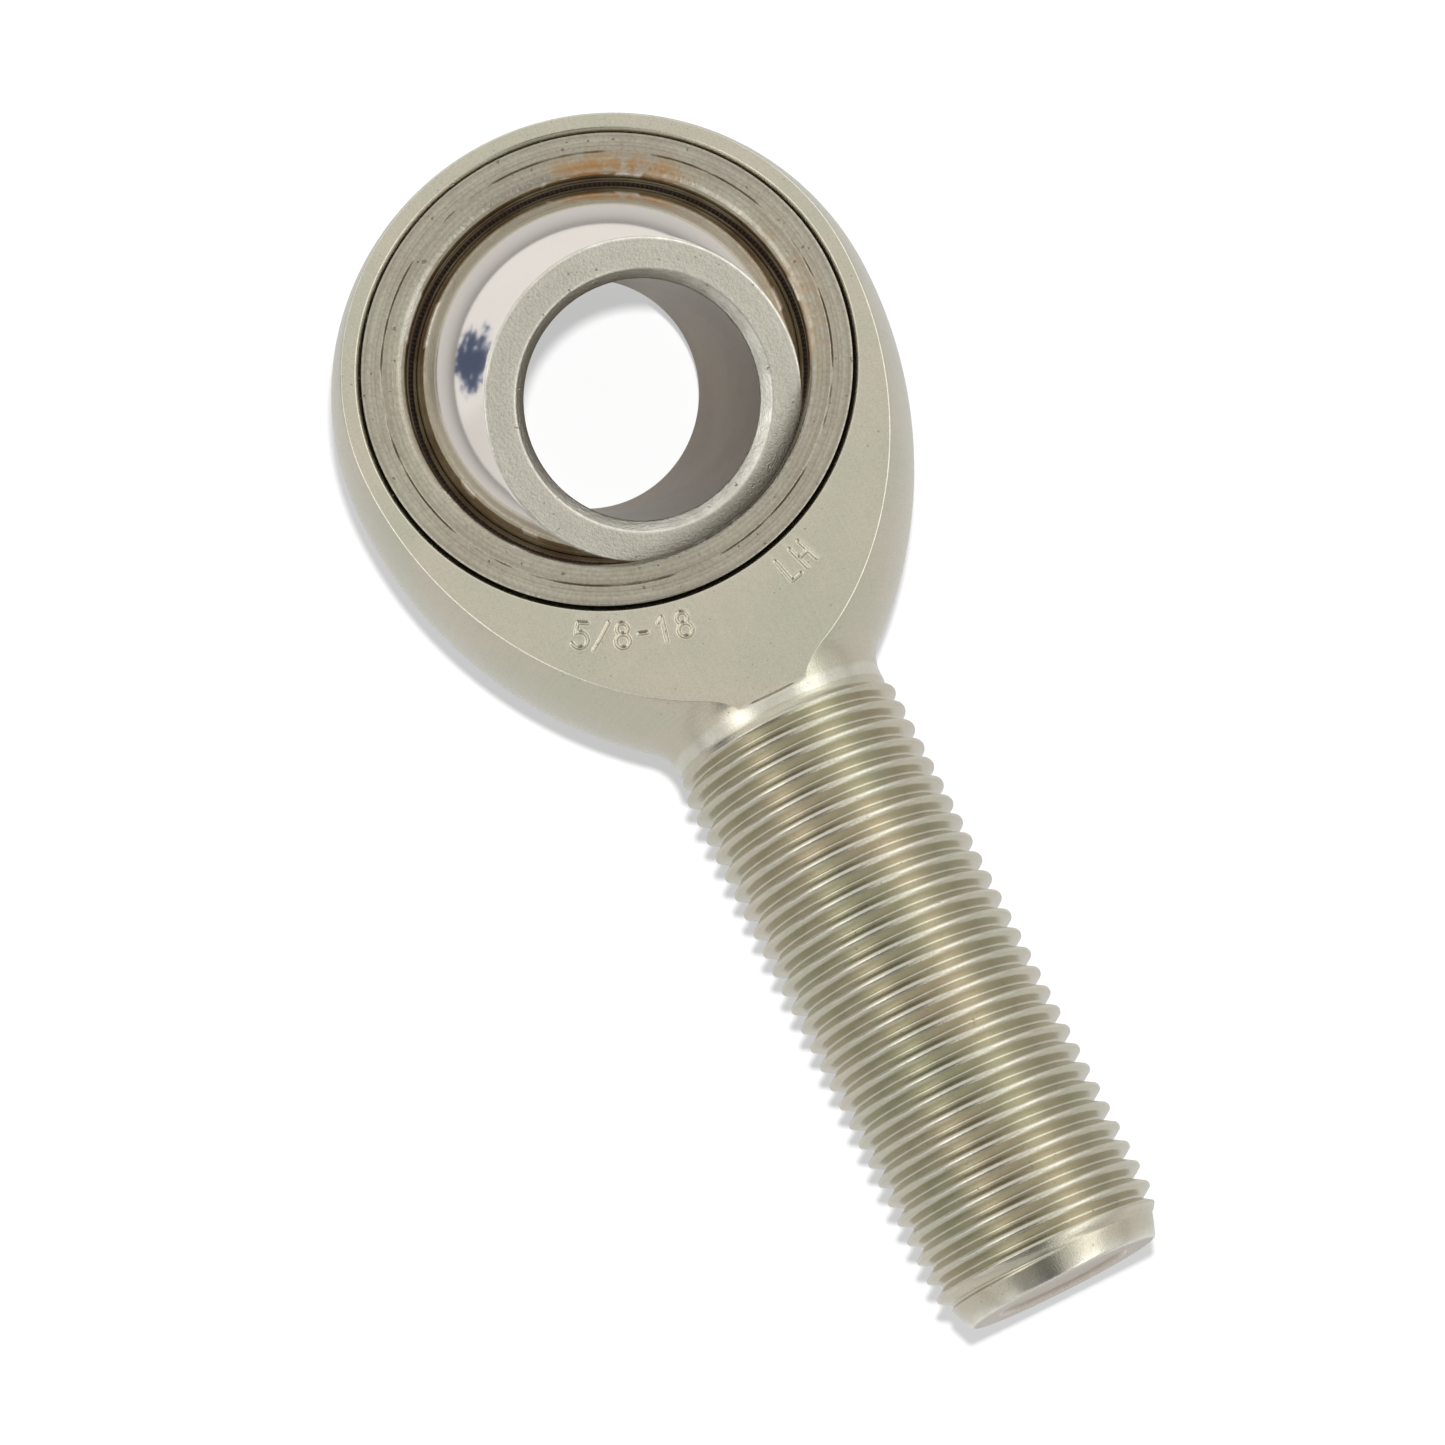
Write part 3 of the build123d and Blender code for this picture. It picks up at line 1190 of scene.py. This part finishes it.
        # the neck and the thread
        lower_cut = (cut * [1, 1, -1])[::-1]
        loop = np.concatenate([cut[:-1], band[:-1, 0], lower_cut[:-1], band[::-1, -1][:-1]])
        neck, painted_highlight, first_angle = self.neck_grid(loop)
        shape.add_grid(neck, closed=True, mark=painted_highlight)
        grid, marks = self.thread_grid(len(loop), first_angle)
        shape.add_grid(grid, mark=marks)
        # the taper and the end face, which closes at its middle
        profile = self.end_profile()
        even = first_angle - TURN / len(loop) * np.arange(len(loop))
        x = np.broadcast_to(profile[:, 0, None], (len(profile), len(loop)))
        radii = profile[:, 1, None]
        end = np.stack([x, radii * np.cos(even), radii * np.sin(even)], axis=-1)
        sheared = (profile[:-1, 1] < self.tip_radius - 0.2).astype(int) * Zone.FACE.value
        shape.add_grid(end, closed=True, zone=sheared, mark=self.end_wear(profile)[:, None])
        return shape.build("rod_end_body")

    def end_profile(self) -> np.ndarray:
        """The shank's end: taper, rounded rim, flat ring, dimple and centre.

        Returns:
            Places along the shank and radii, n by 2.
        """
        tip, r, d = self.length, self.dimple_radius, self.dimple_depth
        rim = bend(
            np.array([tip - 0.22, self.tip_radius + 0.075]),
            np.array([tip, self.tip_radius]),
            np.array([tip, self.tip_radius - 0.22]),
            5,
        )
        points = [(self.thread_end, self.taper_radius), (self.thread_end + 0.1, self.taper_radius - 0.036)]
        points += [(self.thread_end + 0.6, self.taper_radius - 0.22)]
        points += [tuple(p) for p in rim]
        points += [(tip, self.tip_radius - 0.3), (tip, 5.4), (tip, r + 0.2), (tip, r + 0.06)]
        points += [(tip - 0.03, r), (tip - d + 0.05, r - 0.16), (tip - d, r - 0.28), (tip - d, r - 0.4)]
        points += [(tip - d - 0.02, 2.5), (tip - d - 0.03, 1.0), (tip - d - 0.03, 0.0)]
        return np.array(points)

    def end_wear(self, profile: np.ndarray) -> np.ndarray:
        """Wear marks on the end, as bell curves at the rim and at the dimple's edge.

        Args:
            profile: places along the shank and radii, n by 2.

        Returns:
            The marks, from 0 to 1.
        """
        x, radius = profile.T
        rim = np.exp(-(((radius - self.tip_radius) / self.rim_wear) ** 2)) * (x > self.length - 0.3)
        dimple = np.exp(-(((radius - self.dimple_radius) / self.dimple_wear) ** 2))
        return np.clip(rim + dimple * (x > self.length - 0.6), 0.0, 1.0)

    def dress(self, piece: bpy.types.Object, groups: GroupShelf) -> None:
        """Plates the body, leaves its end sheared and ties it to the CAD.

        Args:
            piece: the body.
            groups: the shared node groups.
        """
        materials = [PLATED_STEEL.make(groups), SHEARED_END.make(groups)]
        place_piece(piece, materials, "threaded_body", Body.HOUSING)


@dataclass
class Race:
    """The outer race, staked into the body's bore, in millimetres."""

    outer_radius: float = 15.875
    stake_flare: float = 0.55
    half_width: float = 7.1374
    lip_radius: float = 13.3
    lip_round: float = 1.0
    rim_round: float = 0.3
    ball_seat: float = 14.6325
    groove_radius: float = 14.95
    groove_width: float = 0.14
    groove_depth: float = 0.16
    columns: int = 288

    def build(self) -> bpy.types.Object:
        """Builds the ring as a turned closed profile with an uneven staking groove.

        Returns:
            The piece.
        """
        mouth_z = math.sqrt(self.ball_seat**2 - self.lip_radius**2)
        h, rim = self.half_width, self.outer_radius + self.stake_flare
        groove, half, deep = self.groove_radius, self.groove_width / 2, self.groove_depth
        right = [
            (self.lip_radius, mouth_z, 0.05),
            (self.lip_radius, h, self.lip_round),
            (groove - half, h, 0.06),
            (groove, h - deep, 0.02),
            (groove + half, h, 0.06),
            (rim, h, self.rim_round),
            (self.outer_radius, h - self.stake_flare, 0.05),
        ]
        left = [(r, -z, s) for r, z, s in right[::-1]]
        loop = rounded_loop(right + left, 5, 0.6)
        seat_end = math.asin(mouth_z / self.ball_seat)
        seat = arc_points(self.ball_seat, -seat_end, seat_end, 25)
        profile = np.concatenate([loop, seat[1:-1]])
        grid = turned(np.concatenate([profile, profile[:1]]), self.columns)
        self.roughen(grid)
        shape = Surface()
        radius = np.hypot(grid[..., 0], grid[..., 1])
        high = np.abs(grid[..., 2]) > h - 0.35
        # The lip's bright ring is rubbing wear together with a painted highlight along the rounded lip.
        lip = np.exp(-(((radius - self.lip_radius - 0.1) / 0.25) ** 2)) * high
        outer = 0.5 * np.exp(-(((radius - rim + 0.05) / 0.12) ** 2)) * high
        rows = np.concatenate([profile, profile[:1]])
        # The inner mouth wall takes the darker second material: painted shade.
        wall = (rows[:-1, 0] < self.lip_radius + 0.05) & (np.abs(rows[:-1, 1]) < h - 0.3)
        shaded_wall = wall.astype(int) * Zone.FACE.value
        shape.add_grid(grid, closed=True, flip=True, zone=shaded_wall, mark=np.clip(lip + outer, 0, 1))
        return shape.build("outer_race")

    def roughen(self, grid: np.ndarray) -> None:
        """Fills the staking groove unevenly, and waves the race's rims by a few microns.

        The groove's floor rises by a sum of sines of the angle about Z, so that it shows as a
        thin broken line.

        Args:
            grid: the turned grid, changed in place.
        """
        angle = np.arctan2(grid[..., 1], grid[..., 0])
        radius = np.hypot(grid[..., 0], grid[..., 1])
        inside = np.abs(radius - self.groove_radius) < self.groove_width * 0.45
        high = np.abs(grid[..., 2]) > self.half_width - self.groove_depth - 0.05
        side = np.sign(grid[..., 2])
        uneven = np.sin(7 * angle + 1.0 + side) + np.sin(17 * angle + 2.0) * 0.7 + np.sin(43 * angle) * 0.5
        fill = smooth_step(0.45 + uneven * 0.45)
        depth = self.half_width - np.abs(grid[..., 2])
        grid[..., 2] += np.where(inside & high, side * depth * fill * 0.9, 0.0)
        wave = 0.012 * np.sin(5 * angle + 0.7) + 0.008 * np.sin(13 * angle) + 0.006 * np.sin(29 * angle + 2)
        lip = np.exp(-(((radius - self.lip_radius) / 0.35) ** 2)) * (np.abs(grid[..., 2]) > 6.2)
        grid[..., 2] += side * wave * lip

    def dress(self, piece: bpy.types.Object, groups: GroupShelf) -> None:
        """Gives the race its turned face and its mouth wall darkened with painted shade, and ties it to the
        CAD.

        Args:
            piece: the race.
            groups: the shared node groups.
        """
        materials = [RACE_STEEL.make(groups), SHADED_MOUTH.make(groups)]
        place_piece(piece, materials, "race", Body.HOUSING)


@dataclass
class Liner:
    """The woven liner between race and ball, in millimetres."""

    inner_radius: float = 14.3025
    outer_radius: float = 14.6025
    half_height: float = 5.7
    steps: int = 33
    fray_reach: float = 0.2
    columns: int = 256

    def build(self) -> bpy.types.Object:
        """Builds the spherical layer; two sines of the angle about Z fray its edge slightly.

        Returns:
            The piece.
        """
        outer = math.asin(self.half_height / self.outer_radius)
        inner = math.asin(self.half_height / self.inner_radius)
        outside = arc_points(self.outer_radius, -outer, outer, self.steps)
        inside = arc_points(self.inner_radius, inner, -inner, self.steps)
        profile = np.concatenate([outside, inside, outside[:1]])
        grid = turned(profile, self.columns)
        angle = np.arctan2(grid[..., 1], grid[..., 0])
        inset = np.abs(grid[..., 2]) - self.half_height
        edge = smooth_step((inset + self.fray_reach) / self.fray_reach)
        fray = 0.02 * np.sin(61 * angle) + 0.015 * np.sin(127 * angle + 1.3) - 0.03
        grid[..., 2] += np.sign(grid[..., 2]) * fray * edge
        shape = Surface()
        shape.add_grid(grid, closed=True)
        return shape.build("ball_liner")

    def dress(self, piece: bpy.types.Object, groups: GroupShelf) -> None:
        """Covers the liner with its fabric and ties it to the CAD.

        Args:
            piece: the liner.
            groups: the shared node groups, which the fabric does without.
        """
        place_piece(piece, [WOVEN_LINER.make()], "liner", Body.LINER)


@dataclass
class Ball:
    """The chromed ball with its bore, in millimetres."""

    radius: float = 14.2875
    half_width: float = 9.525
    bore_radius: float = 7.9375
    bore_chamfer: float = 0.7
    rim_round: float = 0.1
    chamfer_round: float = 0.09
    columns: int = 288
    tilt: float = math.radians(24.1)
    heading: float = math.radians(17.2)

    @property
    def axis(self) -> tuple[float, float, float]:
        """The bore's direction, leaning from +Z by tilt towards heading."""
        flat = math.sin(self.tilt)
        return flat * math.cos(self.heading), flat * math.sin(self.heading), math.cos(self.tilt)

    def build(self) -> bpy.types.Object:
        """Builds the ball: sphere, faces and bore as three zones of one closed mesh.

        Returns:
            The piece.
        """
        face = math.sqrt(self.radius**2 - self.half_width**2)
        lift = math.asin(self.half_width / self.radius)
        edge = self.rim_round
        sphere = arc_points(self.radius, lift - edge / self.radius, edge / self.radius - lift, 97)
        corner = np.array([face, self.half_width])
        rounding = bend(np.array([face - edge, self.half_width]), corner, sphere[0], 4)
        h, b, c, r = self.half_width, self.bore_radius, self.bore_chamfer, self.chamfer_round
        top = np.array([[b + c + 0.1, h], [b + c, h], [b + c - r, h - r]])
        low = np.array([[b + r, h - c + r], [b, h - c], [b, h - c - 0.12]])
        chamfer_top = bend(*top, 4)
        chamfer_low = bend(*low, 4)
        flat = np.array([[b + c + 0.15, h], [b + c + 0.8, h], [face - edge - 0.06, h]])
        upper_face = np.concatenate([chamfer_low[::-1], chamfer_top[::-1], flat, rounding])
        wall = np.array([[b, 0.0], [b, 2.5], [b, 5.0], [b, h - c - 0.2]])
        bore = np.concatenate([wall, chamfer_low[-1:]])
        mirror = np.array([1.0, -1.0])
        shape = Surface()
        for run, zone in (
            (bore, Zone.BORE),
            (upper_face, Zone.FACE),
            (sphere, Zone.MAIN),
            ((upper_face * mirror)[::-1], Zone.FACE),
            ((bore * mirror)[::-1], Zone.BORE),
        ):
            mark = 0.0 if zone is Zone.MAIN else self.edge_marks(run)
            shape.add_grid(turned(run, self.columns), closed=True, flip=True, zone=zone, mark=mark)
        turn = Vector((0, 0, 1)).rotation_difference(Vector(self.axis)).to_matrix()
        return shape.build("swivel_ball", np.array(turn))

    def edge_marks(self, profile: np.ndarray) -> np.ndarray:
        """Bright marks along a profile, as bell curves over the chamfer and at the rim: edge wear together
        with painted highlight lines.

        Args:
            profile: radii and heights, n by 2.

        Returns:
            The marks, n by 1, from 0 to 1.
        """
        face = math.sqrt(self.radius**2 - self.half_width**2)
        high = np.abs(profile[:, 1]) > self.half_width - self.bore_chamfer - 0.1
        # Painted highlight together with wear: a bright ring over the bore's chamfer.
        bright = np.exp(-(((profile[:, 0] - self.bore_radius - 0.35) / 0.4) ** 4)) * high
        rim = np.exp(-(((profile[:, 0] - face + 0.03) / 0.08) ** 2))
        return np.clip(bright + rim, 0.0, 1.0)[:, None]

    def dress(self, piece: bpy.types.Object, groups: GroupShelf) -> None:
        """Chromes the ball, with ring marks on its faces and bore about its own axis.

        Args:
            piece: the ball.
            groups: the shared node groups.
        """
        finishes = (MIRROR_CHROME, replace(SATIN_FACE, axis=self.axis), replace(SHADED_BORE, axis=self.axis))
        materials = [finish.make(groups) for finish in finishes]
        place_piece(piece, materials, "ball", Body.BALL)


# --------------------------------------------------------------------------- the stage


@dataclass
class Studio:
    """Pale glowing floor, soft surround and the camera, in metres.

    Each panel of the surround is a middle bearing, half its width and the width of its fall,
    in radians.
    """

    camera_place: tuple[float, float, float] = (0.08966, -0.01904, 0.29872)
    camera_aim: tuple[float, float, float] = (0.02353, -0.00337, 0.0)
    camera_up: float = math.radians(153.89)
    camera_lens: float = 114.9
    floor_drop: float = 0.0134
    floor_glow: float = 0.47
    floor_glow_in_metal: float = 0.16
    floor_albedo: float = 0.2
    lamp_shift: tuple[float, float, float] = (-0.0230, 0.0138, 0.0)
    lamp_power: float = 9.5
    lamp_size: float = 0.006
    floor_reach: float = 3.0
    room_level: float = 0.84
    back_gain: float = 0.14
    left_panel: tuple[float, float, float] = (-0.66, 0.12, 0.18)
    left_gain: float = 1.0
    right_panel: tuple[float, float, float] = (0.76, 0.16, 0.2)
    right_gain: float = 0.9
    end_shade: tuple[float, float, float] = (-0.45, 0.4, 0.25)
    doorway: tuple[float, float, float] = (-0.61, -0.76, 0.2)
    doorway_tint: Colour = (0.45, 0.6, 1.0, 1.0)
    shade_depth: float = 0.8

    def camera(self) -> None:
        """Puts the camera where it sees the rod end from above its threaded end."""
        back = (Vector(self.camera_place) - Vector(self.camera_aim)).normalized()
        up = Vector((math.cos(self.camera_up), math.sin(self.camera_up), 0.0))
        right = up.cross(back).normalized()
        turn = Matrix((right, back.cross(right), back)).transposed()
        lens = bpy.data.cameras.new("camera")
        lens.lens = self.camera_lens
        lens.sensor_width = 36.0
        lens.clip_start = 0.01
        piece = bpy.data.objects.new("camera", lens)
        bpy.context.scene.collection.objects.link(piece)
        piece.matrix_world = Matrix.Translation(self.camera_place) @ turn.to_4x4()
        bpy.context.scene.camera = piece

    def floor(self) -> bpy.types.Object:
        """Lays a large, pale, softly glowing floor under the part.

        Returns:
            The floor.
        """
        mesh = bpy.data.meshes.new("floor")
        far = self.floor_reach
        corners = [(-far, -far, 0), (far, -far, 0), (far, far, 0), (-far, far, 0)]
        mesh.from_pydata(corners, [], [(0, 1, 2, 3)])
        floor = bpy.data.objects.new("floor", mesh)
        bpy.context.scene.collection.objects.link(floor)
        floor.location.z = -self.floor_drop
        material = bpy.data.materials.new("floor_paper")
        material.use_nodes = True
        shader = material.node_tree.nodes["Principled BSDF"]
        shader.inputs["Base Color"].default_value = (self.floor_albedo,) * 3 + (1,)
        shader.inputs["Roughness"].default_value = 1.0
        shader.inputs["Specular IOR Level"].default_value = 0.0
        shader.inputs["Emission Color"].default_value = (1, 1, 1, 1)
        sheet = NodeSheet(material.node_tree)
        seen = sheet.add("ShaderNodeLightPath").outputs["Is Camera Ray"]
        gain = self.floor_glow - self.floor_glow_in_metal
        glow = sheet.math("MULTIPLY_ADD", seen, gain, self.floor_glow_in_metal)
        sheet.join(glow, shader.inputs["Emission Strength"])
        mesh.materials.append(material)
        return floor

    def floor_lamp(self, floor: bpy.types.Object) -> None:
        """Hangs a small lamp beside the camera that draws the part's shadow on the floor alone.

        Args:
            floor: the floor.
        """
        lamp = bpy.data.lights.new("floor_lamp", "POINT")
        lamp.energy = self.lamp_power
        lamp.shadow_soft_size = self.lamp_size
        piece = bpy.data.objects.new("floor_lamp", lamp)
        bpy.context.scene.collection.objects.link(piece)
        piece.location = Vector(self.camera_place) + Vector(self.lamp_shift)
        lit = bpy.data.collections.new("lit_by_floor_lamp")
        lit.objects.link(floor)
        piece.light_linking.receiver_collection = lit

    def panel(
        self, sheet: NodeSheet, bearing: bpy.types.NodeSocket, place: tuple[float, float, float]
    ) -> bpy.types.NodeSocket:
        """A mask that is 1 inside a range of bearings and falls to 0 beyond it.

        Args:
            sheet: the surround's sheet.
            bearing: the bearing's socket, in radians.
            place: the middle of the range, half its width and the width of its fall.

        Returns:
            The mask's socket.
        """
        centre, half, soft = place
        away = sheet.math("ABSOLUTE", sheet.math("SUBTRACT", bearing, centre))
        return sheet.math("SUBTRACT", 1.0, sheet.band(away, half, half + soft))

    def surround(self) -> None:
        """Sets the soft surround: pale, with two long bright panels beside the shank's line.

        The bearing round the shank's axis, atan2(y, z), places the panels; the direction's x
        limits them and the shade past the shank's end. A ragged dark-blue doorway lies where
        the direction's dot product with its own, stirred by noise, is highest.
        """
        world = bpy.data.worlds.new("surround")
        world.use_nodes = True
        sheet = NodeSheet(world.node_tree)
        back = world.node_tree.nodes["Background"]
        parts = sheet.add("ShaderNodeSeparateXYZ")
        direction = sheet.add("ShaderNodeTexCoord").outputs["Generated"]
        sheet.join(direction, parts.inputs[0])
        x, y, z = parts.outputs
        bearing = sheet.math("ARCTAN2", y, z)

        back_side = sheet.band(sheet.math("MULTIPLY", x, -1.0), 0.2, 0.4)
        level = sheet.math("MULTIPLY_ADD", back_side, self.back_gain, self.room_level)
        near = sheet.band(x, -0.6, -0.3)
        left = sheet.math("MULTIPLY", self.panel(sheet, bearing, self.left_panel), near)
        right = sheet.math("MULTIPLY", self.panel(sheet, bearing, self.right_panel), near)
        level = sheet.math("MULTIPLY_ADD", left, self.left_gain, level)
        level = sheet.math("MULTIPLY_ADD", right, self.right_gain, level)
        past_end = sheet.band(x, 0.2, 0.45)
        dim = sheet.math("MULTIPLY", self.panel(sheet, bearing, self.end_shade), past_end)
        dim = sheet.math("MULTIPLY_ADD", dim, -self.shade_depth, 1.0)
        level = sheet.math("MULTIPLY", level, dim)
        toward = sheet.add("ShaderNodeVectorMath", operation="DOT_PRODUCT")
        sheet.join(direction, toward.inputs[0])
        toward.inputs[1].default_value = self.doorway
        ragged = sheet.noise(direction, 11.0, 3.0, 0.7)
        edge = sheet.math("MULTIPLY_ADD", ragged, 0.1, toward.outputs["Value"])
        shade = sheet.band(edge, 1.015, 1.035)
        dark = sheet.math("MULTIPLY_ADD", shade, -self.shade_depth, 1.0)
        level = sheet.math("MULTIPLY", level, dark)
        sheet.join(level, back.inputs["Strength"])
        sheet.join(sheet.blend(shade, (1.0, 1.0, 1.0, 1.0), self.doorway_tint), back.inputs["Color"])
        bpy.context.scene.world = world

    def build(self) -> None:
        """Sets up the whole stage."""
        self.camera()
        self.floor_lamp(self.floor())
        self.surround()
        bpy.context.scene.view_settings.view_transform = "Standard"


# --------------------------------------------------------------------------- putting it together

def main() -> None:
    """Builds the rod end's pieces in order, then the stage."""
    logging.basicConfig(level=logging.INFO, format="%(name)s: %(message)s")
    groups = GroupShelf()
    for part in (ThreadedBody(), Race(), Liner(), Ball()):
        part.dress(part.build(), groups)
    Studio().build()


if __name__ == "__main__":
    main()
